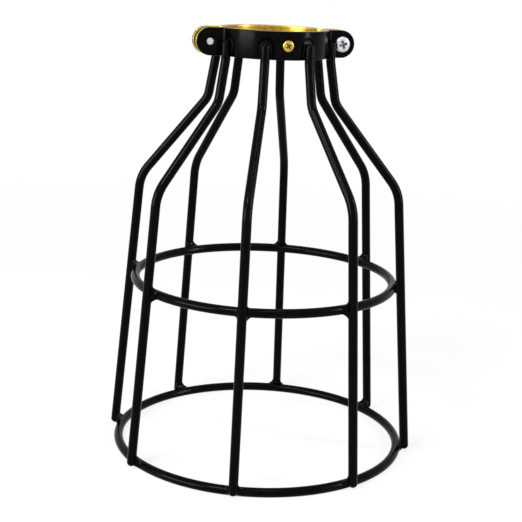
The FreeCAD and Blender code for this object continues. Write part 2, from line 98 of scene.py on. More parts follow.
class Half(Enum):
    """The two equal halves of the clamp, each with its turn about the axis of the guard."""

    FRONT = 0.0
    REAR = math.pi

    @property
    def label(self) -> str:
        """The half's name in lower case, as the CAD nodes have it."""
        return self.name.lower()


class PatchEnd(Enum):
    """How a patch of strap round a hole ends along the strap."""

    STRAIGHT = "straight"
    ROUND = "round"


# Small tools


def smooth_step(value: float) -> float:
    """A smooth rise from 0 to 1 as the value goes from 0 to 1."""
    clamped = min(max(value, 0.0), 1.0)
    return clamped * clamped * (3.0 - 2.0 * clamped)


def squared(turn: float, power: float) -> tuple[float, float]:
    """Follows a round outline that a power below 1 draws out towards its corners.

    Args:
        turn: Angle in radians.
        power: 1 for a circle, and less for a squarer outline.

    Returns:
        The point there, each way from -1 to 1.
    """
    shares = (math.cos(turn), math.sin(turn))
    along, up = (math.copysign(abs(share) ** power, share) for share in shares)
    return along, up


def opaque(colour: Colour) -> Paint:
    """A colour with full cover."""
    return (*colour, 1.0)


def grey(level: float) -> Paint:
    """An opaque grey, from black at 0 to white at 1."""
    return opaque((level, level, level))


def even_ring(radius: float, height: float) -> Ring:
    """A ring that is round and level."""
    return lambda angle: (radius, height)


def plain_mesh(
    name: str, points: Sequence[Vector], faces: Sequence[Sequence[int]]
) -> bpy.types.Mesh:
    """Makes a mesh in metres from points in millimetres.

    Args:
        name: Name of the mesh.
        points: Corners in millimetres.
        faces: Corner numbers of each face, counter-clockwise from outside.

    Returns:
        The new mesh.
    """
    mesh = bpy.data.meshes.new(name)
    mesh.from_pydata([point * MM for point in points], [], faces)
    mesh.update()
    return mesh


def loft(name: str, loops: Sequence[Sequence[Vector]]) -> bpy.types.Mesh:
    """Joins each loop of points to the next and closes both ends.

    Args:
        name: Name of the mesh.
        loops: Loops of equally many points in millimetres, counter-clockwise as the last one faces.

    Returns:
        The closed mesh.
    """
    sides = len(loops[0])
    last = (len(loops) - 1) * sides
    faces: list[list[int]] = [list(range(sides - 1, -1, -1))]
    for low in range(0, last, sides):
        high = low + sides
        for side in range(sides):
            following = (side + 1) % sides
            faces.append([low + side, low + following, high + following, high + side])
    faces.append(list(range(last, last + sides)))
    return plain_mesh(name, [point for loop in loops for point in loop], faces)


def lathe(name: str, rings: Sequence[Ring], sides: int) -> bpy.types.Mesh:
    """Turns a closed solid about Z from rings that run from its lower end to its upper end.

    Args:
        name: Name of the mesh.
        rings: For each ring, the radius and height in millimetres at an angle.
        sides: Corners round each ring.

    Returns:
        The turned mesh, closed by a flat face at each end.
    """
    loops = []
    for ring in rings:
        loop = []
        for side in range(sides):
            angle = 2.0 * math.pi * side / sides
            radius, height = ring(angle)
            loop.append(Vector((radius * math.cos(angle), radius * math.sin(angle), height)))
        loops.append(loop)
    return loft(name, loops)


def hollow_skin(
    name: str, rows: Sequence[Sequence[Vector]], across_steps: int = 6
) -> bpy.types.Mesh:
    """Closes a weld's skin over rows that each lead from one rim through a hollow to the other rim.

    Args:
        name: Name of the mesh.
        rows: For each step round the weld, the point on one rim, the hollow's corner, the other rim.
        across_steps: Faces across the hollow.

    Returns:
        The closed skin.
    """
    loops = []
    for step in range(across_steps + 1):
        share = step / across_steps
        rest = 1.0 - share
        loops.append(
            [
                first * rest**2 + hollow * (2.0 * rest * share) + last * share**2
                for first, hollow, last in rows
            ]
        )
    return loft(name, loops)


def new_object(name: str, mesh: bpy.types.Mesh) -> bpy.types.Object:
    """Puts a mesh in the scene as an object at the origin.

    Args:
        name: Name of the object.
        mesh: Its mesh.

    Returns:
        The new object.
    """
    piece = bpy.data.objects.new(name, mesh)
    bpy.context.scene.collection.objects.link(piece)
    return piece


def settle(piece: bpy.types.Object) -> None:
    """Turns what a piece's modifiers give into its plain mesh, smooth but for its sharp edges.

    Args:
        piece: Object whose modifiers are applied and removed.
    """
    graph = bpy.context.evaluated_depsgraph_get()
    result = bpy.data.meshes.new_from_object(piece.evaluated_get(graph), depsgraph=graph)
    piece.modifiers.clear()
    before = piece.data
    piece.data = result
    result.name = piece.name
    if before.users == 0:
        bpy.data.meshes.remove(before)
    result.shade_smooth()
    result.set_sharp_from_angle(angle=SHARP_EDGE)


def enlist(piece: bpy.types.Object, slot: Slot, *nodes: str) -> bpy.types.Object:
    """Seats a finished piece on the body, hides the nodes it stands for, and reports how far it lies
    off them.

    Args:
        piece: Finished piece at the origin.
        slot: Material slot of its finish; not used.
        nodes: CAD nodes that it stands for, if any.

    Returns:
        The same piece.
    """
    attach(piece, BODY)
    if nodes:
        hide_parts(*nodes)
    corners = [vertex.co for vertex in piece.data.vertices]
    off = 0.0
    for node in nodes:
        low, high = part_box(node)
        for axis in range(3):
            span = [corner[axis] for corner in corners]
            off = max(off, abs(min(span) - low[axis]), abs(max(span) - high[axis]))
    LOG.info("%s: %d faces, %.2f mm off its node", piece.name, len(piece.data.polygons), off / MM)
    return piece


# Node trees


class NodeBoard:
    """A node tree with one short call to add a node and wire it up."""

    def __init__(self, tree: bpy.types.NodeTree) -> None:
        """Takes the tree that the board works on."""
        self.tree = tree

    def add(
        self, kind: str, inputs: Mapping[str | int, object] | None = None, **settings: object
    ) -> bpy.types.Node:
        """Adds a node.

        Args:
            kind: Type name of the node.
            inputs: For each input, by name or number, a value or the output that feeds it.
            settings: The node's own properties.

        Returns:
            The new node.
        """
        node = self.tree.nodes.new(kind)
        for name, value in settings.items():
            setattr(node, name, value)
        for key, value in (inputs or {}).items():
            if isinstance(value, Socket):
                self.tree.links.new(value, node.inputs[key])
            else:
                node.inputs[key].default_value = value
        return node

    def mix(self, share: Socket, first: bpy.types.Node, second: bpy.types.Node) -> bpy.types.Node:
        """Mixes two shaders, with the share of the second."""
        return self.add("ShaderNodeMixShader", {0: share, 1: first.outputs[0], 2: second.outputs[0]})


class ShapeTree(NodeBoard):
    """A Geometry Nodes tree with named inputs, which ends in a real shape with a material."""

    def __init__(self, name: str, inputs: Mapping[str, str]) -> None:
        """Makes the tree.

        Args:
            name: Name of the tree.
            inputs: For each named input, its socket type.
        """
        super().__init__(bpy.data.node_groups.new(name, "GeometryNodeTree"))
        face = self.tree.interface
        face.new_socket(name="Geometry", in_out="INPUT", socket_type="NodeSocketGeometry")
        face.new_socket(name="Geometry", in_out="OUTPUT", socket_type="NodeSocketGeometry")
        kinds = {**inputs, "Material": "NodeSocketMaterial"}
        self.keys = {
            label: face.new_socket(name=label, in_out="INPUT", socket_type=kind).identifier
            for label, kind in kinds.items()
        }
        self.source = self.add("NodeGroupInput")

    def given(self, label: str) -> Socket:
        """The output of the tree's input node under a name."""
        return self.source.outputs[label]

    def number(self, label: str) -> Socket:
        """A number that each point of the tree's mesh carries under a name."""
        named = self.add("GeometryNodeInputNamedAttribute", {"Name": label}, data_type="FLOAT")
        return named.outputs[0]

    def circle(self, steps: Socket, radius: Socket) -> Socket:
        """A circle about Z, as a curve."""
        sizes = {"Resolution": steps, "Radius": radius}
        return self.add("GeometryNodeCurvePrimitiveCircle", sizes, mode="RADIUS").outputs[0]

    def turned(self, shape: Socket, turn: object, rise: object = 0.0) -> Socket:
        """Turns a shape about Z and raises it.

        Args:
            shape: Geometry to move.
            turn: Angle in radians, or the output that gives it.
            rise: Height in metres, or the output that gives it.

        Returns:
            The moved geometry.
        """
        euler = self.add("ShaderNodeCombineXYZ", {"Z": turn})
        lift = self.add("ShaderNodeCombineXYZ", {"Z": rise})
        facing = self.add("FunctionNodeEulerToRotation", {"Euler": euler.outputs[0]})
        moved = self.add(
            "GeometryNodeTransform",
            {"Geometry": shape, "Translation": lift.outputs[0], "Rotation": facing.outputs[0]},
        )
        return moved.outputs[0]

    def finish(self, shape: Socket) -> None:
        """Ends the tree in real geometry, smooth, with the given material.

        Args:
            shape: Geometry that the tree has made.
        """
        smooth = self.add("GeometryNodeSetShadeSmooth", {"Geometry": shape})
        real = self.add("GeometryNodeRealizeInstances", {"Geometry": smooth.outputs[0]})
        dressed = self.add(
            "GeometryNodeSetMaterial",
            {"Geometry": real.outputs[0], "Material": self.given("Material")},
        )
        self.add("NodeGroupOutput", {"Geometry": dressed.outputs[0]})

    def make(self, name: str, base: bpy.types.Mesh, values: Mapping[str, object]) -> bpy.types.Object:
        """Runs the tree on a mesh and keeps the result as a plain mesh.

        Args:
            name: Name of the new piece.
            base: Mesh that the tree works on.
            values: For each named input, its value.

        Returns:
            The new piece.
        """
        piece = new_object(name, base)
        modifier = piece.modifiers.new(self.tree.name, "NODES")
        modifier.node_group = self.tree
        for label, value in values.items():
            modifier[self.keys[label]] = value
        settle(piece)
        return piece


# Finishes


class Finish:
    """A procedural material on a piece's own coordinates."""

    def __init__(self, name: str) -> None:
        """Starts a material with its shader and its coordinates.

        Args:
            name: Name of the material.
        """
        self.material = bpy.data.materials.new(name)
        self.material.use_nodes = True
        self.board = NodeBoard(self.material.node_tree)
        self.shader = self.material.node_tree.nodes["Principled BSDF"]
        self.place = self.board.add("ShaderNodeTexCoord").outputs["Object"]

    def noise(self, pitch: float, detail: float = 2.0, stretch: Place = (1.0, 1.0, 1.0)) -> Socket:
        """A noise pattern.

        Args:
            pitch: Size of its grains in millimetres.
            detail: Octaves of finer grain.
            stretch: How much finer it is along each axis.

        Returns:
            The pattern's value from 0 to 1.
        """
        spread = self.board.add("ShaderNodeMapping", {"Vector": self.place, "Scale": stretch})
        grain = self.board.add(
            "ShaderNodeTexNoise",
            {"Vector": spread.outputs[0], "Scale": 1.0 / (pitch * MM), "Detail": detail},
        )
        return grain.outputs[0]

    def shift(self, value: Socket, low: float, high: float) -> Socket:
        """Spreads the middle of a noise pattern over a range.

        Args:
            value: Noise pattern.
            low: Lower end of the range.
            high: Upper end of the range.

        Returns:
            The spread pattern.
        """
        start, end = NOISE_SPAN
        span = self.board.add(
            "ShaderNodeMapRange",
            {"Value": value, "From Min": start, "From Max": end, "To Min": low, "To Max": high},
        )
        return span.outputs[0]

    def colour(self, value: Socket, dark: Colour, light: Colour) -> Socket:
        """Runs from a dark to a light colour over the middle of a noise pattern.

        Args:
            value: Noise pattern.
            dark: Colour at its lower values.
            light: Colour at its higher values.

        Returns:
            The colour.
        """
        ramp = self.board.add("ShaderNodeValToRGB", {"Fac": value})
        for stop, position, shade in zip(ramp.color_ramp.elements, NOISE_SPAN, (dark, light)):
            stop.position = position
            stop.color = opaque(shade)
        return ramp.outputs[0]

    def paint_recess_shade(self, colour: Socket, shade: Colour) -> Socket:
        """Darkens a colour with painted shade where the piece's faces lie in a recess.

        Args:
            colour: Colour of the open faces.
            shade: What it is multiplied by in a recess.

        Returns:
            The colour of all faces.
        """
        deep = self.board.add("ShaderNodeAttribute", attribute_name=RECESS_SHADE_MASK)
        shaded_colour = self.board.add(
            "ShaderNodeMix",
            {0: deep.outputs["Fac"], 6: colour, 7: opaque(shade)},
            data_type="RGBA",
            blend_type="MULTIPLY",
        )
        return shaded_colour.outputs[2]

    def relief(self, value: Socket, height: float, below: Socket | None = None) -> Socket:
        """Raises the surface by a pattern.

        Args:
            value: Pattern from 0 to 1.
            height: Height of the pattern in millimetres.
            below: Relief that this one lies on, if any.

        Returns:
            The tilted normal.
        """
        inputs = {"Height": value, "Distance": height * MM, "Strength": 1.0}
        if below is not None:
            inputs["Normal"] = below
        return self.board.add("ShaderNodeBump", inputs).outputs[0]

    def connect(self, **feeds: Socket) -> None:
        """Feeds sockets of the shader, each named with underscores for spaces."""
        for label, feed in feeds.items():
            self.material.node_tree.links.new(feed, self.shader.inputs[label.replace("_", " ")])

    def fix(self, **values: float) -> None:
        """Sets sockets of the shader, each named with underscores for spaces."""
        for label, value in values.items():
            self.shader.inputs[label.replace("_", " ")].default_value = value


@dataclass(frozen=True)
class PowderCoat:
    """Black satin powder coat, with the fine orange peel that baking leaves."""

    dark: Colour = (0.0003, 0.0003, 0.0004)
    light: Colour = (0.0010, 0.0010, 0.0010)
    gloss: tuple[float, float] = (0.15, 0.23)
    gloss_pitch: float = 1.4
    gloss_detail: float = 3.0
    specular: float = 0.045
    peel_pitch: float = 0.45
    peel_detail: float = 1.0
    peel_height: float = 0.009
    sag_pitch: float = 3.0
    sag_height: float = 0.02

    def material(self) -> bpy.types.Material:
        """Builds the material.

        Returns:
            The black coat.
        """
        finish = Finish("black powder coat")
        drift = finish.noise(self.sag_pitch)
        sag = finish.relief(drift, self.sag_height)
        peel = finish.noise(self.peel_pitch, self.peel_detail)
        haze = finish.noise(self.gloss_pitch, self.gloss_detail)
        finish.connect(
            Base_Color=finish.colour(drift, self.dark, self.light),
            Roughness=finish.shift(haze, *self.gloss),
            Normal=finish.relief(peel, self.peel_height, sag),
        )
        finish.fix(Metallic=0.0, Specular_IOR_Level=self.specular)
        return finish.material


@dataclass(frozen=True)
class GoldFinish:
    """Bright gold-coloured finish on rolled strip, with fine lines along the strip."""

    dark: Colour = (0.42, 0.28, 0.040)
    light: Colour = (0.63, 0.455, 0.10)
    # painted shade: multiplies the gold where faces lie in a screw's recess
    recess: Colour = (0.30, 0.24, 0.12)
    gloss: tuple[float, float] = (0.24, 0.38)
    tone_pitch: float = 1.8
    tone_detail: float = 3.0
    line_pitch: float = 1.2
    line_detail: float = 3.0
    line_stretch: Place = (0.25, 0.25, 9.0)
    line_height: float = 0.0016

    def material(self) -> bpy.types.Material:
        """Builds the material.

        Returns:
            The gold finish.
        """
        finish = Finish("gold finish")
        lines = finish.noise(self.line_pitch, self.line_detail, self.line_stretch)
        tone = finish.noise(self.tone_pitch, self.tone_detail)
        finish.connect(
            Base_Color=finish.paint_recess_shade(finish.colour(tone, self.dark, self.light), self.recess),
            Roughness=finish.shift(lines, *self.gloss),
            Normal=finish.relief(lines, self.line_height),
        )
        finish.fix(Metallic=1.0)
        return finish.material


@dataclass(frozen=True)
class ZincPlate:
    """Bright zinc plate on a steel screw, faintly clouded."""

    dark: Colour = (0.40, 0.41, 0.44)
    light: Colour = (0.78, 0.79, 0.81)
    # painted shade: multiplies the zinc where faces lie in the screw's recess
    recess: Colour = (0.30, 0.32, 0.36)
    gloss: tuple[float, float] = (0.18, 0.32)
    cloud_pitch: float = 0.9
    cloud_detail: float = 3.0
    grain_pitch: float = 0.12
    grain_detail: float = 1.0
    grain_height: float = 0.0012

    def material(self) -> bpy.types.Material:
        """Builds the material.

        Returns:
            The zinc plate.
        """
        finish = Finish("zinc plate")
        cloud = finish.noise(self.cloud_pitch, self.cloud_detail)
        grain = finish.noise(self.grain_pitch, self.grain_detail)
        finish.connect(
            Base_Color=finish.paint_recess_shade(finish.colour(cloud, self.dark, self.light), self.recess),
            Roughness=finish.shift(cloud, *self.gloss),
            Normal=finish.relief(grain, self.grain_height),
        )
        finish.fix(Metallic=1.0)
        return finish.material


# Wire cage


@dataclass
class WireCage:
    """Eight bent ribs, the two rings inside them, and the welds, in millimetres and degrees."""

    coat: bpy.types.Material
    wire_diameter: float = 3.5
    end_rounding: float = 1.3
    set_down: float = 0.2
    rib_count: int = 8
    shoulder_height: float = 105.0
    foot_spread: float = 9.0
    flare_height: float = 32.0
    flare_spread: float = 25.9
    neck_height: float = 16.75
    neck_spread: float = 2.65
    seat_radius: float = 21.75
    seat_drop: float = 1.0
    seat_bend: float = 4.0
    neck_bend: float = 9.0
    shoulder_bend: float = 16.0
    top_rise: float = 5.9
    foot_drop: float = 0.5
    foot_rounding: float = 1.6
    middle_ring_drop: float = 37.4
    weld_wrap: float = 75.0
    weld_power: float = 0.3
    weld_run: float = 1.6
    weld_rounding: float = 1.2
    foot_weld_run: float = 2.3
    foot_weld_rounding: float = 1.6
    foot_weld_wrap: float = 47.0
    foot_weld_share: float = 0.9
    seat_weld_power: float = 0.6
    seat_weld_width: float = 5.0
    seat_weld_low: float = 0.5
    seat_weld_above: float = 0.75
    seat_weld_sink: float = 0.03
    seat_hollow_share: float = 0.86
    seat_hollow_drop: float = 0.45
    seat_rim_drop: float = 0.12
    collar_width: float = COLLAR_WIDTH
    collar_crown: float = COLLAR_CROWN
    sides: int = 32
    bend_steps: int = 20
    ring_steps: int = 240
    weld_steps: int = 48

    @property
    def radius(self) -> float:
        """Half the wire's diameter."""
        return self.wire_diameter / 2.0

    @property
    def weld_side(self) -> float:
        """Distance from a wire's middle line at which a weld meets its flank."""
        return self.radius * math.sin(math.radians(self.weld_wrap))

    @property
    def slope(self) -> float:
        """Growth in radius of the lower run for each millimetre down."""
        return self.foot_spread / (self.shoulder_height - self.radius)

    @property
    def shoulder_radius(self) -> float:
        """Radius of the shoulder corner."""
        return self.seat_radius + self.neck_spread + self.flare_spread

    @property
    def neck_level(self) -> float:
        """Height of the neck corner."""
        return self.shoulder_height + self.flare_height

    @property
    def collar_level(self) -> float:
        """Height of the collar's lower edge."""
        return self.neck_level + self.neck_height

    @property
    def wire_values(self) -> dict[str, object]:
        """What every wire gives its tree."""
        return {"Wire Radius": self.radius * MM, "Sides": self.sides, "Material": self.coat}

    def rib_radius(self, height: float) -> float:
        """Radius of the lower run's middle line at a height."""
        return self.shoulder_radius + self.slope * (self.shoulder_height - height)

    def ring_radius(self, height: float) -> float:
        """Radius of the middle line of a ring that lies inside the ribs at a height."""
        inset = (self.wire_diameter - self.set_down) / math.cos(math.atan(self.slope))
        return self.rib_radius(height) - inset

    def rib_turns(self) -> list[float]:
        """Angles of the ribs about the axis, in radians, clear of the ears."""
        step = 2.0 * math.pi / self.rib_count
        return [(index + 0.5) * step for index in range(self.rib_count)]

    def rib_line(self) -> bpy.types.Mesh:
        """Lays out a rib's corners in the XZ plane.

        Returns:
            A mesh of edges, with each corner's bend radius and the share of the wire's girth there.
        """
        foot = self.radius - self.foot_drop
        corners = [
            (self.seat_radius, self.collar_level + self.top_rise, 0.0),
            (self.seat_radius, self.collar_level - self.seat_drop, self.seat_bend),
            (self.seat_radius + self.neck_spread, self.neck_level, self.neck_bend),
            (self.shoulder_radius, self.shoulder_height, self.shoulder_bend),
            (self.rib_radius(foot), foot, 0.0),
        ]
        points = [Vector((across, 0.0, up)) for across, up, _ in corners]
        bends = [bend for _, _, bend in corners]
        top = self.rounded_end(points[0], points[1], self.end_rounding)
        bottom = self.rounded_end(points[-1], points[-2], self.foot_rounding)
        line = top + [(point, 1.0) for point in points[1:-1]] + bottom[::-1]
        radii = [0.0] * len(top) + bends[1:-1] + [0.0] * len(bottom)
        edges = [(corner, corner + 1) for corner in range(len(line) - 1)]
        layers = {"bend": [radius * MM for radius in radii], "girth": [girth for _, girth in line]}
        mesh = bpy.data.meshes.new("rib line")
        mesh.from_pydata([point * MM for point, _ in line], edges, [])
        for label, values in layers.items():
            mesh.attributes.new(label, "FLOAT", "POINT").data.foreach_set("value", values)
        return mesh

    def rounded_end(
        self, end: Vector, inner: Vector, rounding: float, steps: int = 7
    ) -> list[tuple[Vector, float]]:
        """Points and girths from a wire's flat tip to its full girth, round a quarter circle.

        Args:
            end: Middle of the tip.
            inner: Next corner of the wire.
            rounding: Radius of the quarter circle.
            steps: Steps round the quarter circle.

        Returns:
            Points along the wire, each with its share of the full girth.
        """
        into = (inner - end).normalized()
        rim = []
        for step in range(steps + 1):
            angle = math.pi / 2.0 * step / steps
            depth = rounding * (1.0 - math.cos(angle))
            girth = 1.0 - rounding / self.radius * (1.0 - math.sin(angle))
            rim.append((end + into * depth, girth))
        return rim

    def build_ribs(self) -> list[bpy.types.Object]:
        """Sweeps the eight ribs, each along the same bent line.

        Returns:
            The ribs, counter-clockwise from the right ear.
        """
        tree = ShapeTree(
            "bent wire",
            {
                "Wire Radius": "NodeSocketFloat",
                "Turn": "NodeSocketFloat",
                "Bend Steps": "NodeSocketInt",
                "Sides": "NodeSocketInt",
            },
        )
        line = tree.add("GeometryNodeMeshToCurve", {"Mesh": tree.given("Geometry")}).outputs[0]
        bent = tree.add(
            "GeometryNodeFilletCurve",
            {"Curve": line, "Count": tree.given("Bend Steps"), "Radius": tree.number("bend")},
            mode="POLY",
        )
        wire = tree.add(
            "GeometryNodeCurveToMesh",
            {
                "Curve": bent.outputs[0],
                "Profile Curve": tree.circle(tree.given("Sides"), tree.given("Wire Radius")),
                "Scale": tree.number("girth"),
                "Fill Caps": True,
            },
        )
        tree.finish(tree.turned(wire.outputs[0], tree.given("Turn")))
        ribs = []
        for number, turn in enumerate(self.rib_turns(), start=1):
            values = {**self.wire_values, "Turn": turn, "Bend Steps": self.bend_steps}
            rib = tree.make(f"rib_{number}", self.rib_line(), values)
            ribs.append(enlist(rib, Slot.BLACK_COAT, f"rib_wire_{number}"))
        return ribs

    def build_rings(self) -> list[bpy.types.Object]:
        """Sweeps the two rings.

        Returns:
            The middle ring and the bottom ring.
        """
        tree = ShapeTree(
            "wire ring",
            {
                "Wire Radius": "NodeSocketFloat",
                "Ring Radius": "NodeSocketFloat",
                "Height": "NodeSocketFloat",
                "Ring Steps": "NodeSocketInt",
                "Sides": "NodeSocketInt",
            },
        )
        wire = tree.add(
            "GeometryNodeCurveToMesh",
            {
                "Curve": tree.circle(tree.given("Ring Steps"), tree.given("Ring Radius")),
                "Profile Curve": tree.circle(tree.given("Sides"), tree.given("Wire Radius")),
            },
        )
        tree.finish(tree.turned(wire.outputs[0], 0.0, tree.given("Height")))
        rings = []
        for label, height in self.ring_heights():
            values = {
                **self.wire_values,
                "Ring Radius": self.ring_radius(height) * MM,
                "Height": height * MM,
                "Ring Steps": self.ring_steps,
            }
            ring = tree.make(f"{label}_wire", bpy.data.meshes.new(label), values)
            rings.append(enlist(ring, Slot.BLACK_COAT, label))
        return rings

    def ring_heights(self) -> tuple[tuple[str, float], tuple[str, float]]:
        """The rings' nodes and the heights of their middle lines."""
        middle = self.shoulder_height - self.middle_ring_drop
        return ("middle_ring", middle), ("bottom_ring", self.radius)

    def weld_fillet(
        self, name: str, hoop: float, run: float, rounding: float, at_foot: bool
    ) -> bpy.types.Mesh:
        """Shapes the coated weld between a rib and a ring, which cross one outside the other.

        The ring's wire runs along Y through the origin, and the rib's wire along Z outside it. The
        weld's rim on each wire is joined to its rim on the other by a hollow that meets both wires,
        and a web rounds out each corner of the crossing. At a foot, where the rib ends, the weld runs
        straight from the rib's tip to the lower side of the ring.

        Args:
            name: Name of the mesh.
            hoop: Radius of the ring's middle line.
            run: How far the weld runs along each wire from the other's flank.
            rounding: Radius that the web rounds the corners out to.
            at_foot: Whether the rib ends at the crossing.

        Returns:
            The closed fillet.
        """
        gap = self.wire_diameter - self.set_down
        wrap = math.radians(self.weld_wrap)
        side, reach = self.weld_side, self.radius + run
        lift = gap - self.wire_diameter + self.radius * (1.0 - math.cos(wrap))
        throat = side - lift / math.tan(wrap)
        diagonal = math.sqrt(0.5)
        corner = self.radius + rounding * (1.0 - diagonal)
        web = 2.0 * corner / diagonal**self.weld_power - (reach + side) / 2.0
        foot_side = self.radius * math.sin(math.radians(self.foot_weld_wrap))
        rows = []
        for step in range(self.weld_steps):
            turn = 2.0 * math.pi * step / self.weld_steps
            along, up = squared(turn, self.weld_power)
            below = at_foot and up < 0.0
            if below:
                ring_up = up * foot_side
                rib_up = up * self.foot_drop * self.foot_weld_share
                girth = self.end_radius(rib_up + self.foot_drop, self.foot_rounding)
                hollow_out = throat
            else:
                ring_up = up * side
                rib_up = up * reach
                girth = self.radius
                hollow_out = throat + (web - throat) * abs(math.sin(2.0 * turn))
            flank = min(side, girth) * along
            bow = hoop - math.sqrt(hoop**2 - (reach * along) ** 2)
            on_ring = Vector((math.sqrt(self.radius**2 - ring_up**2) - bow, reach * along, ring_up))
            on_rib = Vector((gap - math.sqrt(girth**2 - flank**2), flank, rib_up))
            lean = self.radius * math.cos(turn) ** 2 + (gap - self.radius) * math.sin(turn) ** 2
            hollow = Vector((lean, hollow_out * along, rib_up if below else hollow_out * up))
            if below:
                hollow = hollow.lerp((on_ring + on_rib) / 2.0, abs(math.sin(turn)))
            rows.append([on_ring, hollow, on_rib])
        return hollow_skin(name, rows)

    def seat_weld(self, name: str) -> bpy.types.Mesh:
        """Shapes the coated weld round the upper end of a rib, in its seat on the collar.

        The seat is the plane X = 0, the rib's wire runs along Z outside it, and Z = 0 is the collar's
        lower edge. The weld's rim on the seat is joined to its rim on the rib by a hollow.

        Args:
            name: Name of the mesh.

        Returns:
            The closed weld.
        """
        gap = self.radius - self.set_down
        low = self.seat_weld_low
        half = self.collar_width / 2.0
        loops = (
            (self.seat_weld_width / 2.0, self.top_rise + self.seat_weld_above),
            (self.weld_side * self.seat_hollow_share, self.top_rise - self.seat_hollow_drop),
            (self.weld_side, self.top_rise - self.seat_rim_drop),
        )
        rows = []
        for step in range(self.weld_steps):
            along, up = squared(2.0 * math.pi * step / self.weld_steps, self.seat_weld_power)
            row = []
            for reach, high in loops:
                height = (high + low) / 2.0 + up * (high - low) / 2.0
                fall = self.collar_crown * (height / half - 1.0) ** 2
                row.append(Vector((-self.seat_weld_sink - fall, reach * along, height)))
            on_rib = row[-1]
            girth = self.end_radius(self.top_rise - on_rib.z, self.end_rounding)
            on_rib.x = gap - math.sqrt(max(girth**2 - on_rib.y**2, 0.0))
            rows.append(row)
        return hollow_skin(name, rows)

    def end_radius(self, depth: float, rounding: float) -> float:
        """Radius of a rib at a depth behind its tip, with the rounding of that end."""
        over = min(max(rounding - depth, 0.0) / rounding, 1.0)
        return self.radius - rounding * (1.0 - math.sqrt(1.0 - over**2))

    def build_welds(self) -> list[bpy.types.Object]:
        """Sets a weld at each crossing of a rib and a ring, and at the upper end of each rib.

        Returns:
            The welds of the middle ring, those of the bottom ring and those of the collar.
        """
        tree = ShapeTree(
            "welds round a ring",
            {
                "Count": "NodeSocketInt",
                "First Turn": "NodeSocketFloat",
                "Step": "NodeSocketFloat",
                "Ring Radius": "NodeSocketFloat",
                "Height": "NodeSocketFloat",
                "Lean": "NodeSocketFloat",
            },
        )
        spots = tree.add(
            "GeometryNodeMeshCircle",
            {"Vertices": tree.given("Count"), "Radius": tree.given("Ring Radius")},
        )
        index = tree.add("GeometryNodeInputIndex").outputs[0]
        turn = tree.add("ShaderNodeMath", {0: index, 1: tree.given("Step")}, operation="MULTIPLY")
        euler = tree.add("ShaderNodeCombineXYZ", {"Y": tree.given("Lean"), "Z": turn.outputs[0]})
        facing = tree.add("FunctionNodeEulerToRotation", {"Euler": euler.outputs[0]})
        copies = tree.add(
            "GeometryNodeInstanceOnPoints",
            {
                "Points": spots.outputs[0],
                "Instance": tree.given("Geometry"),
                "Rotation": facing.outputs[0],
            },
        )
        tree.finish(tree.turned(copies.outputs[0], tree.given("First Turn"), tree.given("Height")))
        forms = {
            "middle_ring": (self.weld_run, self.weld_rounding, False),
            "bottom_ring": (self.foot_weld_run, self.foot_weld_rounding, True),
        }
        lean = -math.atan(self.slope)
        runs = []
        for label, height in self.ring_heights():
            hoop = self.ring_radius(height)
            runs.append((label, self.weld_fillet(label, hoop, *forms[label]), hoop, height, lean))
        seat = self.seat_radius - self.radius + self.set_down
        runs.append(("collar", self.seat_weld("collar"), seat, self.collar_level, 0.0))
        welds = []
        for label, base, radius, height, tilt in runs:
            values = {
                "Count": self.rib_count,
                "First Turn": self.rib_turns()[0],
                "Step": 2.0 * math.pi / self.rib_count,
                "Ring Radius": radius * MM,
                "Height": height * MM,
                "Lean": tilt,
                "Material": self.coat,
            }
            weld = tree.make(f"{label}_welds", base, values)
            welds.append(enlist(weld, Slot.BLACK_COAT))
        return welds


# Clamp collar


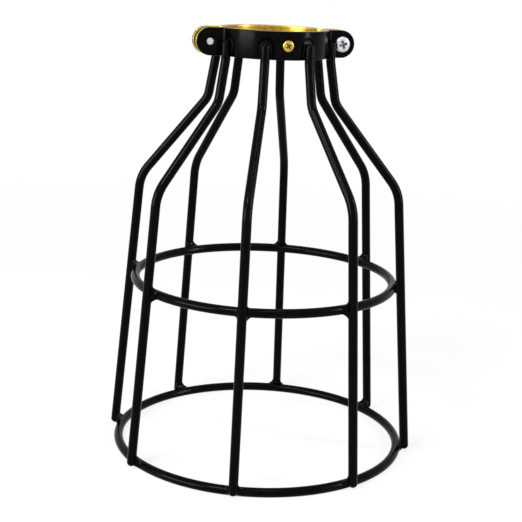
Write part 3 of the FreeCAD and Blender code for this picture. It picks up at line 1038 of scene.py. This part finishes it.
@dataclass(frozen=True)
class Strap:
    """One bent strap: a half ring toward -Y with an ear at each end, in millimetres and radians."""

    ring_radius: float
    ear_reach: float
    ear_face: float
    bend: float
    thickness: float
    rim: float
    crown: float
    right_hole: float
    left_hole: float
    middle_hole: float
    seat_turns: tuple[float, ...] = ()
    seat_reach: float = math.radians(45.0)
    seat_depth: float = 0.5
    seat_width: float = 5.8
    seat_rise: float = 7.7
    seat_soft: float = 0.35
    dimple_diameter: float = 0.0
    dimple_depth: float = 0.5
    width: float = COLLAR_WIDTH
    patch: float = 3.4
    step: float = 0.25
    rows: int = 32
    edge_steps: int = 10
    hole_rings: tuple[float, ...] = (0.0, 0.25, 0.4, 0.55, 0.7, 0.85, 1.0)
    middle_steps: int = 11
    middle_border: float = 0.12
    rim_angle: float = math.radians(80.0)
    rim_segments: int = 4

    @property
    def middle_radius(self) -> float:
        """Radius of the half ring's middle line."""
        return self.ring_radius - self.thickness / 2.0

    @property
    def ear_line(self) -> float:
        """Distance of the ears' middle line from the plane between the halves."""
        return self.ear_face - self.thickness / 2.0

    @property
    def bend_radius(self) -> float:
        """Radius of the middle line of the bend between half ring and ear."""
        return self.bend + self.thickness / 2.0

    @property
    def bend_across(self) -> float:
        """Distance of the bend's centre from the axis, along the ears."""
        reach = self.middle_radius + self.bend_radius
        return math.sqrt(reach**2 - (self.ear_line + self.bend_radius) ** 2)

    @property
    def bend_turn(self) -> float:
        """Angle of the half ring, from its middle, at which the bend starts."""
        return math.atan2(self.bend_across, self.ear_line + self.bend_radius)

    @property
    def hole_along(self) -> float:
        """Distance along the strap from its middle to an ear's hole."""
        arcs = (self.middle_radius + self.bend_radius) * self.bend_turn
        return arcs + self.ear_reach - self.bend_across

    @property
    def middle_rings(self) -> tuple[float, ...]:
        """Shares of the way from the middle hole to its patch's rim, with a wider last step."""
        inner = 1.0 - self.middle_border
        return (*(inner * step / self.middle_steps for step in range(self.middle_steps + 1)), 1.0)

    def spine(self, along: float) -> tuple[Vector, Vector]:
        """Follows the strap's middle line in plan.

        Args:
            along: Distance from the middle of the strap, to the right if positive.

        Returns:
            The point there and the direction out of the strap's outer face.
        """
        distance = abs(along)
        ring_end = self.middle_radius * self.bend_turn
        bend_end = ring_end + self.bend_radius * self.bend_turn
        if distance <= ring_end:
            heading = distance / self.middle_radius
            point = Vector((math.sin(heading), -math.cos(heading), 0.0)) * self.middle_radius
        elif distance <= bend_end:
            heading = self.bend_turn - (distance - ring_end) / self.bend_radius
            centre = Vector((self.bend_across, -self.ear_line - self.bend_radius, 0.0))
            point = centre + Vector((-math.sin(heading), math.cos(heading), 0.0)) * self.bend_radius
        else:
            heading = 0.0
            point = Vector((self.bend_across + distance - bend_end, -self.ear_line, 0.0))
        out = Vector((math.sin(heading), -math.cos(heading), 0.0))
        if along < 0.0:
            point.x, out.x = -point.x, -out.x
        return point, out

    def pressed(self, along: float, up: float) -> float:
        """Depth to which the outer face is pressed in at a place on the strap.

        Args:
            along: Distance along the strap from its middle.
            up: Height above the strap's middle line.

        Returns:
            The depth in millimetres.
        """
        depth = 0.0
        half = self.seat_width / 2.0
        spring = self.seat_rise - half - self.width / 2.0
        for turn in self.seat_turns:
            angle = along / self.middle_radius - turn
            if abs(angle) < self.seat_reach:
                across = self.ring_radius * math.sin(angle)
                inside = half - (math.hypot(across, up - spring) if up > spring else abs(across))
                flat = self.ring_radius - (self.ring_radius - self.seat_depth) / math.cos(angle)
                depth = max(depth, flat * self.soft_share(inside))
        if self.dimple_diameter:
            inside = self.dimple_diameter / 2.0 - math.hypot(along, up)
            depth = max(depth, self.dimple_depth * self.soft_share(inside))
        return depth

    def soft_share(self, inside: float) -> float:
        """Share of a pressing's depth at a distance inside its outline."""
        return smooth_step(0.5 + inside / (2.0 * self.seat_soft))

    def levels(self) -> list[float]:
        """Spaces the plan's rows so that they point at a hole from a patch's straight side.

        Returns:
            Heights above the strap's middle line.
        """
        widest = math.atan2(self.width / 2.0, self.patch)
        turns = [widest * (2.0 * row / self.rows - 1.0) for row in range(self.rows + 1)]
        return [self.patch * math.tan(turn) for turn in turns]

    def patch_rim(self, left: PatchEnd, right: PatchEnd) -> list[tuple[float, float]]:
        """Walks counter-clockwise round a patch of strap about a hole.

        Args:
            left: How the patch ends on its left.
            right: How it ends on its right.

        Returns:
            Points of the rim, from the lower right.
        """
        half = self.width / 2.0
        turns = [math.pi * (step / self.rows - 0.5) for step in range(self.rows + 1)]
        sides = {
            PatchEnd.STRAIGHT: [(self.patch, level) for level in self.levels()],
            PatchEnd.ROUND: [(half * math.cos(turn), half * math.sin(turn)) for turn in turns],
        }
        right_side = sides[right]
        left_side = [(-across, -up) for across, up in sides[left]]
        rim = []
        for side, following in ((right_side, left_side), (left_side, right_side)):
            (start, edge), (end, _) = side[-1], following[0]
            shares = [step / self.edge_steps for step in range(1, self.edge_steps)]
            rim += side + [(start + (end - start) * share, edge) for share in shares]
        return rim

    def plan(self) -> tuple[list[tuple[float, float]], list[list[int]]]:
        """Cuts the flat strap into four-sided cells, with its three holes.

        Returns:
            Points along and up the strap, and the cells.
        """
        numbers: dict[tuple[int, int], int] = {}
        points: list[tuple[float, float]] = []
        cells: list[list[int]] = []

        def number(along: float, up: float) -> int:
            """Numbers a point once for all the cells that meet there.

            Args:
                along: Distance along the strap from its middle.
                up: Height above the strap's middle line.

            Returns:
                The point's number.
            """
            key = (round(along * MERGE_STEPS), round(up * MERGE_STEPS))
            if key not in numbers:
                numbers[key] = len(points)
                points.append((along, up))
            return numbers[key]

        reach = self.hole_along - self.patch
        run = reach - self.patch
        columns = round(run / self.step)
        stops = [self.patch + run * column / columns for column in range(columns + 1)]
        levels = self.levels()
        for side in (1.0, -1.0):
            for near, far in zip(stops, stops[1:]):
                start, end = sorted((side * near, side * far))
                for low, high in zip(levels, levels[1:]):
                    corners = ((start, low), (end, low), (end, high), (start, high))
                    cells.append([number(*corner) for corner in corners])
        patches = (
            (0.0, self.middle_hole, PatchEnd.STRAIGHT, PatchEnd.STRAIGHT, self.middle_rings),
            (self.hole_along, self.right_hole, PatchEnd.STRAIGHT, PatchEnd.ROUND, self.hole_rings),
            (-self.hole_along, self.left_hole, PatchEnd.ROUND, PatchEnd.STRAIGHT, self.hole_rings),
        )
        for centre, hole, left, right, rings in patches:
            rim = self.patch_rim(left, right)
            for inner, outer in zip(rings, rings[1:]):
                for start, end in zip(rim, rim[1:] + rim[:1]):
                    cell = []
                    for spot, share in ((start, inner), (start, outer), (end, outer), (end, inner)):
                        scale = share + (1.0 - share) * hole / 2.0 / math.hypot(*spot)
                        cell.append(number(centre + spot[0] * scale, spot[1] * scale))
                    cells.append(cell)
        return points, cells

    def blank(self, name: str) -> bpy.types.Mesh:
        """Gives the flat plan its thickness.

        Args:
            name: Name of the mesh.

        Returns:
            The flat strap, its outer face up.
        """
        points, cells = self.plan()
        half = self.thickness / 2.0
        count = len(points)
        flat = [Vector((*point, level)) for level in (half, -half) for point in points]
        faces = [list(cell) for cell in cells]
        faces += [[corner + count for corner in reversed(cell)] for cell in cells]
        sides = {(cell[corner - 1], cell[corner]) for cell in cells for corner in range(4)}
        rims = [(start, end) for start, end in sides if (end, start) not in sides]
        faces += [[end, start, start + count, end + count] for start, end in sorted(rims)]
        return plain_mesh(name, flat, faces)

    def mesh(self, name: str, middle_height: float) -> bpy.types.Mesh:
        """Rounds the rims of the flat strap, presses its seats and bends it to shape.

        Args:
            name: Name of the mesh.
            middle_height: Height of the strap's middle line.

        Returns:
            The bent strap.
        """
        mesh = self.blank(name)
        half = self.thickness / 2.0
        shape = bmesh.new()
        shape.from_mesh(mesh)
        shape.normal_update()
        clear = (self.middle_hole / 2.0 + self.rim) * MM
        edges = [
            edge
            for edge in shape.edges
            if len(edge.link_faces) == 2
            and edge.calc_face_angle() > self.rim_angle
            and edge.verts[0].co.xy.length > clear
        ]
        bmesh.ops.bevel(
            shape,
            geom=edges,
            offset=self.rim * MM,
            segments=self.rim_segments,
            profile=ROUND_PROFILE,
            affect="EDGES",
            clamp_overlap=True,
        )
        for vertex in shape.verts:
            along, up, out = vertex.co / MM
            fall = self.crown * (2.0 * up / self.width) ** 2
            depth = (fall + self.pressed(along, up)) * (out + half) / self.thickness
            point, direction = self.spine(along)
            place = point + direction * (out - depth)
            vertex.co = Vector((place.x, place.y, middle_height + up)) * MM
        shape.to_mesh(mesh)
        shape.free()
        return mesh


@dataclass
class PanHeadScrew:
    """A pan-head screw with a cross recess and a rolled thread, its head standing on Z = 0."""

    name: str
    shank_diameter: float
    length: float
    head_diameter: float
    head_height: float
    head_rounding: float
    recess_span: float
    recess_slot: float
    recess_depth: float
    recess_turn: float
    pitch: float
    thread_depth: float
    crown: float = 0.12
    crown_shares: tuple[float, ...] = (0.75, 0.5, 0.25)
    under_bevel: float = 0.12
    under_share: float = 0.3
    recess_foot_reach: float = 0.60
    recess_foot_width: float = 0.85
    recess_mouth_width: float = 1.05
    recess_flare: float = 0.3
    overcut: float = 0.5
    floor_margin: float = 0.05
    face_margin: float = 0.03
    sides: int = 64
    thread_steps: int = 10
    rounding_steps: int = 8

    def thread(self, height: float) -> Ring:
        """Works out the thread at a height, which runs out at the head and at the tip.

        Args:
            height: Height above the head's lower face, below 0 on the shank.

        Returns:
            The ring of the thread there.
        """
        tip = smooth_step((height + self.length) / self.pitch)
        neck = smooth_step(-height / self.pitch)

        def ring(angle: float) -> tuple[float, float]:
            """Follows the thread round the ring.

            Args:
                angle: Angle about the screw's axis.

            Returns:
                Radius and height of the thread there.
            """
            turns = height / self.pitch - angle / (2.0 * math.pi)
            wave = 0.5 - 0.5 * math.cos(2.0 * math.pi * turns)
            groove = self.thread_depth * (wave * neck * tip + 1.0 - tip)
            return self.shank_diameter / 2.0 - groove, height

        return ring

    def outline(self) -> list[Ring]:
        """Works out the screw's rings.

        Returns:
            The rings from the screw's tip to the top of its head.
        """
        head = self.head_diameter / 2.0
        steps = max(1, round(self.length / self.pitch * self.thread_steps))
        rings = [self.thread(-self.length * (1.0 - step / steps)) for step in range(steps + 1)]
        bevel, bulge = self.under_bevel, self.under_bevel * self.under_share
        rings.append(even_ring(head - bevel, 0.0))
        rings.append(even_ring(head - bulge, bulge))
        rings.append(even_ring(head, bevel))
        lift = self.head_height - self.crown - self.head_rounding
        for step in range(self.rounding_steps + 1):
            angle = math.pi / 2.0 * step / self.rounding_steps
            radius = head - self.head_rounding * (1.0 - math.cos(angle))
            rings.append(even_ring(radius, lift + self.head_rounding * math.sin(angle)))
        flat = head - self.head_rounding
        for share in self.crown_shares:
            rings.append(even_ring(flat * share, self.head_height - self.crown * share**2))
        return rings

    def recess(self) -> bpy.types.Mesh:
        """Shapes the tapered cross that cuts the recess into the top of the head.

        Returns:
            The closed cross.
        """
        mouth_reach = 1.0 + self.overcut * self.recess_flare
        levels = (
            (self.head_height - self.recess_depth, self.recess_foot_reach, self.recess_foot_width),
            (self.head_height + self.overcut, mouth_reach, self.recess_mouth_width),
        )
        loops = []
        for height, reach, width in levels:
            arm, slot = self.recess_span / 2.0 * reach, self.recess_slot / 2.0 * width
            loop = []
            for quarter in range(4):
                turn = Matrix.Rotation(quarter * math.pi / 2.0 + self.recess_turn, 3, "Z")
                for across, up in ((arm, -slot), (arm, slot), (slot, slot)):
                    loop.append(turn @ Vector((across, up, height)))
            loops.append(loop)
        return loft(f"{self.name} recess", loops)

    def mesh(self) -> bpy.types.Mesh:
        """Turns the screw and cuts its recess.

        Returns:
            The screw along Z.
        """
        blank = new_object(self.name, lathe(self.name, self.outline(), self.sides))
        cutter = new_object(f"{self.name} recess", self.recess())
        cut = blank.modifiers.new("recess", "BOOLEAN")
        cut.operation = "DIFFERENCE"
        cut.solver = "EXACT"
        cut.object = cutter
        settle(blank)
        mesh = blank.data
        bpy.data.objects.remove(blank)
        bpy.data.objects.remove(cutter)
        # marks the recess faces, which the finishes darken as painted shade
        shade_mask = [float(self.in_recess(face.center / MM)) for face in mesh.polygons]
        mesh.attributes.new(RECESS_SHADE_MASK, "FLOAT", "FACE").data.foreach_set("value", shade_mask)
        return mesh

    def in_recess(self, spot: Vector) -> bool:
        """Tells whether a spot lies in the recess, below the crown of the head.

        Args:
            spot: Point in millimetres.

        Returns:
            True if it does.
        """
        across = spot.xy.length
        flat = self.head_diameter / 2.0 - self.head_rounding
        face = self.head_height - self.crown * (across / flat) ** 2
        floor = face - self.recess_depth - self.floor_margin
        return across < self.recess_span / 2.0 and floor < spot.z < face - self.face_margin


@dataclass
class ClampCollar:
    """Two equal halves of black strap and gold liner, their liner screws and the two clamp screws."""

    coat: bpy.types.Material
    gold: bpy.types.Material
    zinc: bpy.types.Material
    middle_height: float = 158.9
    radius: float = 20.7
    strap_thickness: float = 1.4
    liner_thickness: float = 0.8
    ear_gap: float = 5.0
    ear_reach: float = 25.2
    ear_bend: float = 1.5
    clearance: float = 3.2
    clamp_diameter: float = 3.0
    liner_screw_diameter: float = 2.5
    strap_rim: float = 0.35
    liner_rim: float = 0.2
    strap_crown: float = COLLAR_CROWN
    rib_spacing: float = 45.0
    dimple_diameter: float = 6.0
    dimple_depth: float = 0.5
    clamp_tip_recess: float = 0.6
    liner_tip_recess: float = 0.1

    def __post_init__(self) -> None:
        """Works out the strap and the liner, and makes the tree that places the copies of a piece."""
        self.ear_face = self.ear_gap / 2.0 + self.liner_thickness + self.strap_thickness
        seat_turn = math.radians(self.rib_spacing / 2.0)
        self.strap = Strap(
            ring_radius=self.radius,
            ear_reach=self.ear_reach,
            ear_face=self.ear_face,
            bend=self.ear_bend,
            thickness=self.strap_thickness,
            rim=self.strap_rim,
            crown=self.strap_crown,
            right_hole=self.clearance,
            left_hole=self.clearance,
            middle_hole=self.liner_screw_diameter,
            seat_turns=(-3.0 * seat_turn, -seat_turn, seat_turn, 3.0 * seat_turn),
            dimple_diameter=self.dimple_diameter,
            dimple_depth=self.dimple_depth,
        )
        self.liner = Strap(
            ring_radius=self.radius - self.strap_thickness,
            ear_reach=self.ear_reach,
            ear_face=self.ear_face - self.strap_thickness,
            bend=self.ear_bend + self.strap_thickness,
            thickness=self.liner_thickness,
            rim=self.liner_rim,
            crown=0.0,
            right_hole=self.clearance,
            left_hole=self.clamp_diameter,
            middle_hole=self.liner_screw_diameter,
        )
        tree = ShapeTree("placed copy", {"Offset": "NodeSocketVector", "Turn": "NodeSocketFloat"})
        moved = tree.add(
            "GeometryNodeTransform",
            {"Geometry": tree.given("Geometry"), "Translation": tree.given("Offset")},
        )
        tree.finish(tree.turned(moved.outputs[0], tree.given("Turn")))
        self.copies = tree

    def place(
        self,
        name: str,
        base: bpy.types.Mesh,
        half: Half,
        material: bpy.types.Material,
        offset: Place = (0.0, 0.0, 0.0),
    ) -> bpy.types.Object:
        """Puts a copy of a front piece on either half.

        Args:
            name: Name of the new piece.
            base: Mesh of the piece.
            half: Half that it belongs to.
            material: Finish of the piece.
            offset: Where the piece's own origin goes on the front half, in millimetres.

        Returns:
            The placed piece.
        """
        values = {"Offset": Vector(offset) * MM, "Turn": half.value, "Material": material}
        return self.copies.make(name, base.copy(), values)

    def build_straps(self) -> list[bpy.types.Object]:
        """Makes the black straps and the liners of both halves.

        Returns:
            The strap and the liner of the front half, then those of the rear half.
        """
        strap = self.strap.mesh("collar strap", self.middle_height)
        liner = self.liner.mesh("collar liner", self.middle_height)
        pieces = []
        for half in Half:
            outer = self.place(f"{half.label}_strap", strap, half, self.coat)
            pieces.append(enlist(outer, Slot.BLACK_COAT, f"{half.label}_collar"))
            inner = self.place(f"{half.label}_lining", liner, half, self.gold)
            pieces.append(enlist(inner, Slot.GOLD, f"{half.label}_liner"))
        return pieces

    @staticmethod
    def lying(mesh: bpy.types.Mesh) -> bpy.types.Mesh:
        """Lays a screw's mesh along Y with its head toward -Y."""
        mesh.transform(Matrix.Rotation(math.pi / 2.0, 4, "X"))
        return mesh

    def build_screws(self) -> list[bpy.types.Object]:
        """Makes the liner screws and the clamp screws.

        Returns:
            The liner screws, front and rear, then the clamp screws, right and left.
        """
        grip = self.strap_thickness + self.liner_thickness - self.dimple_depth
        liner_screw = PanHeadScrew(
            name="liner screw",
            shank_diameter=self.liner_screw_diameter,
            length=grip - self.liner_tip_recess,
            head_diameter=4.2,
            head_height=1.2,
            head_rounding=0.6,
            recess_span=2.4,
            recess_slot=0.6,
            recess_depth=0.7,
            recess_turn=math.radians(32.0),
            pitch=0.45,
            thread_depth=0.1,
        )
        clamp_screw = PanHeadScrew(
            name="clamp screw",
            shank_diameter=self.clamp_diameter,
            length=2.0 * self.ear_face - self.clamp_tip_recess,
            head_diameter=6.0,
            head_height=2.2,
            head_rounding=1.3,
            recess_span=3.2,
            recess_slot=0.85,
            recess_depth=1.2,
            recess_turn=math.radians(18.0),
            pitch=0.5,
            thread_depth=0.26,
        )
        pieces = []
        base = self.lying(liner_screw.mesh())
        offset = (0.0, self.dimple_depth - self.radius, self.middle_height)
        for half in Half:
            screw = self.place(f"{half.label}_lining_screw", base, half, self.gold, offset)
            pieces.append(enlist(screw, Slot.GOLD, f"{half.label}_liner_screw"))
        base = self.lying(clamp_screw.mesh())
        offset = (self.ear_reach, -self.ear_face, self.middle_height)
        for half, side in ((Half.FRONT, "right"), (Half.REAR, "left")):
            screw = self.place(f"{side}_ear_screw", base, half, self.zinc, offset)
            pieces.append(enlist(screw, Slot.ZINC, f"{side}_clamp_screw"))
        return pieces


# Studio


@dataclass(frozen=True)
class SoftBox:
    """A soft studio lamp aimed at the guard, in metres and watts."""

    name: str
    place: Place
    width: float
    height: float
    power: float

    def build(self, aim: Vector) -> bpy.types.Object:
        """Hangs the lamp.

        Args:
            aim: Point that it faces, in metres.

        Returns:
            The lamp.
        """
        lamp = bpy.data.lights.new(self.name, "AREA")
        lamp.shape = "RECTANGLE"
        lamp.size = self.width
        lamp.size_y = self.height
        lamp.energy = self.power
        holder = bpy.data.objects.new(self.name, lamp)
        holder.location = Vector(self.place)
        holder.rotation_mode = "QUATERNION"
        holder.rotation_quaternion = (aim - holder.location).to_track_quat("-Z", "Y")
        bpy.context.scene.collection.objects.link(holder)
        return holder


@dataclass(frozen=True)
class PhotoCamera:
    """The photograph's viewpoint, in millimetres and degrees."""

    eye: Place = (-119.78, -449.26, 190.91)
    heading: float = 14.76
    pitch: float = 14.11
    roll: float = 2.363
    focal_pixels: float = 1223.5
    frame_pixels: float = 522.0
    sensor: float = 36.0
    clip: tuple[float, float] = (10.0, 100000.0)

    def build(self) -> bpy.types.Object:
        """Sets up the scene's camera.

        Returns:
            The camera.
        """
        angles = (self.heading, self.pitch, self.roll)
        heading, pitch, roll = (math.radians(angle) for angle in angles)
        level = math.cos(pitch)
        ahead = Vector((math.sin(heading) * level, math.cos(heading) * level, -math.sin(pitch)))
        right = Vector((math.cos(heading), -math.sin(heading), 0.0))
        up = right.cross(ahead)
        across = right * math.cos(roll) + up * math.sin(roll)
        upright = up * math.cos(roll) - right * math.sin(roll)
        lens = bpy.data.cameras.new("photograph")
        lens.sensor_width = self.sensor
        lens.lens = self.focal_pixels * self.sensor / self.frame_pixels
        lens.clip_start, lens.clip_end = (distance * MM for distance in self.clip)
        camera = bpy.data.objects.new("photograph", lens)
        turn = Matrix((across, upright, -ahead)).transposed()
        camera.matrix_world = Matrix.Translation(Vector(self.eye) * MM) @ turn.to_4x4()
        bpy.context.scene.collection.objects.link(camera)
        bpy.context.scene.camera = camera
        return camera


@dataclass
class Studio:
    """White floor, soft light from all round and a few large lamps, in metres."""

    floor_size: float = 24.0
    floor_shade: float = 0.22
    floor_glow: float = 0.82
    floor_bounce: float = 0.9
    floor_fade: tuple[float, float] = (0.12, 0.65)
    sky_level: float = 0.08
    lamps: tuple[SoftBox, ...] = (
        SoftBox("left", (-1.10, -0.33, 0.34), 0.70, 0.48, 13.4),
        SoftBox("right", (0.98, -0.60, 0.34), 0.10, 0.56, 5.8),
        SoftBox("upper left", (-0.60, -0.53, 0.95), 0.26, 0.22, 7.0),
        SoftBox("upper right", (0.90, -0.48, 0.72), 0.16, 0.20, 3.8),
        SoftBox("top", (0.00, -0.44, 1.20), 0.22, 0.18, 1.5),
    )

    @staticmethod
    def seen(board: NodeBoard) -> Socket:
        """Tells the rays that show the background, straight or in a mirror image, from the rest.

        Args:
            board: Node tree of the background.

        Returns:
            1 for those rays and 0 for the rest.
        """
        path = board.add("ShaderNodeLightPath").outputs
        shown = path["Is Camera Ray"]
        for kind in ("Is Glossy Ray", "Is Transmission Ray"):
            either = board.add("ShaderNodeMath", {0: shown, 1: path[kind]}, operation="MAXIMUM")
            shown = either.outputs[0]
        return shown

    def floor_paint(self) -> bpy.types.Material:
        """Makes the floor's white, which keeps shadows near the guard and is open from below.

        Returns:
            The material.
        """
        paint = bpy.data.materials.new("floor white")
        paint.use_nodes = True
        paint.node_tree.nodes.clear()
        board = NodeBoard(paint.node_tree)
        matt = board.add("ShaderNodeBsdfDiffuse", {"Color": grey(self.floor_shade)})
        glow = board.add("ShaderNodeEmission", {"Color": WHITE, "Strength": self.floor_glow})
        near = board.add("ShaderNodeAddShader", {0: matt.outputs[0], 1: glow.outputs[0]})
        far = board.add("ShaderNodeEmission", {"Color": WHITE, "Strength": 1.0})
        spot = board.add("ShaderNodeTexCoord").outputs["Object"]
        distance = board.add("ShaderNodeVectorMath", {0: spot}, operation="LENGTH")
        start, end = self.floor_fade
        fade = board.add(
            "ShaderNodeMapRange",
            {"Value": distance.outputs["Value"], "From Min": start, "From Max": end},
            interpolation_type="SMOOTHSTEP",
        )
        white = board.mix(fade.outputs[0], near, far)
        bounce = board.add("ShaderNodeBsdfDiffuse", {"Color": grey(self.floor_bounce)})
        faced = board.mix(self.seen(board), bounce, white)
        below = board.add("ShaderNodeBsdfTransparent")
        behind = board.add("ShaderNodeNewGeometry").outputs["Backfacing"]
        whole = board.mix(behind, faced, below)
        board.add("ShaderNodeOutputMaterial", {"Surface": whole.outputs[0]})
        return paint

    def build_floor(self) -> bpy.types.Object:
        """Lays the floor.

        Returns:
            The floor.
        """
        half = self.floor_size / 2.0 / MM
        signs = ((-1, -1), (1, -1), (1, 1), (-1, 1))
        corners = [Vector((across * half, along * half, 0.0)) for across, along in signs]
        floor = new_object("floor", plain_mesh("floor", corners, [[0, 1, 2, 3]]))
        floor.data.materials.append(self.floor_paint())
        return floor

    def build_sky(self) -> bpy.types.World:
        """Surrounds the scene with white, which lights it more softly than it shows.

        Returns:
            The world.
        """
        world = bpy.data.worlds.new("studio white")
        world.use_nodes = True
        world.node_tree.nodes.clear()
        board = NodeBoard(world.node_tree)
        light, white = (
            board.add("ShaderNodeBackground", {"Color": WHITE, "Strength": level})
            for level in (self.sky_level, 1.0)
        )
        either = board.mix(self.seen(board), light, white)
        board.add("ShaderNodeOutputWorld", {"Surface": either.outputs[0]})
        bpy.context.scene.world = world
        return world

    def build(self) -> None:
        """Sets the floor, the light and the plain view transform."""
        self.build_floor()
        self.build_sky()
        aim = (CAD_BOX[0] + CAD_BOX[1]) / 2.0
        for lamp in self.lamps:
            lamp.build(aim)
        bpy.context.scene.view_settings.view_transform = "Standard"


def main() -> None:
    """Builds the cage, the collar and the studio, and reports each piece."""
    coat = PowderCoat().material()
    gold = GoldFinish().material()
    zinc = ZincPlate().material()
    cage = WireCage(coat)
    collar = ClampCollar(coat, gold, zinc)
    pieces = [
        *cage.build_ribs(),
        *cage.build_rings(),
        *cage.build_welds(),
        *collar.build_straps(),
        *collar.build_screws(),
    ]
    Studio().build()
    camera = PhotoCamera().build()
    LOG.info("%d pieces, camera lens %.1f mm", len(pieces), camera.data.lens)


if __name__ == "__main__":
    logging.basicConfig(level=logging.INFO, format="%(message)s", stream=sys.stdout)
    main()
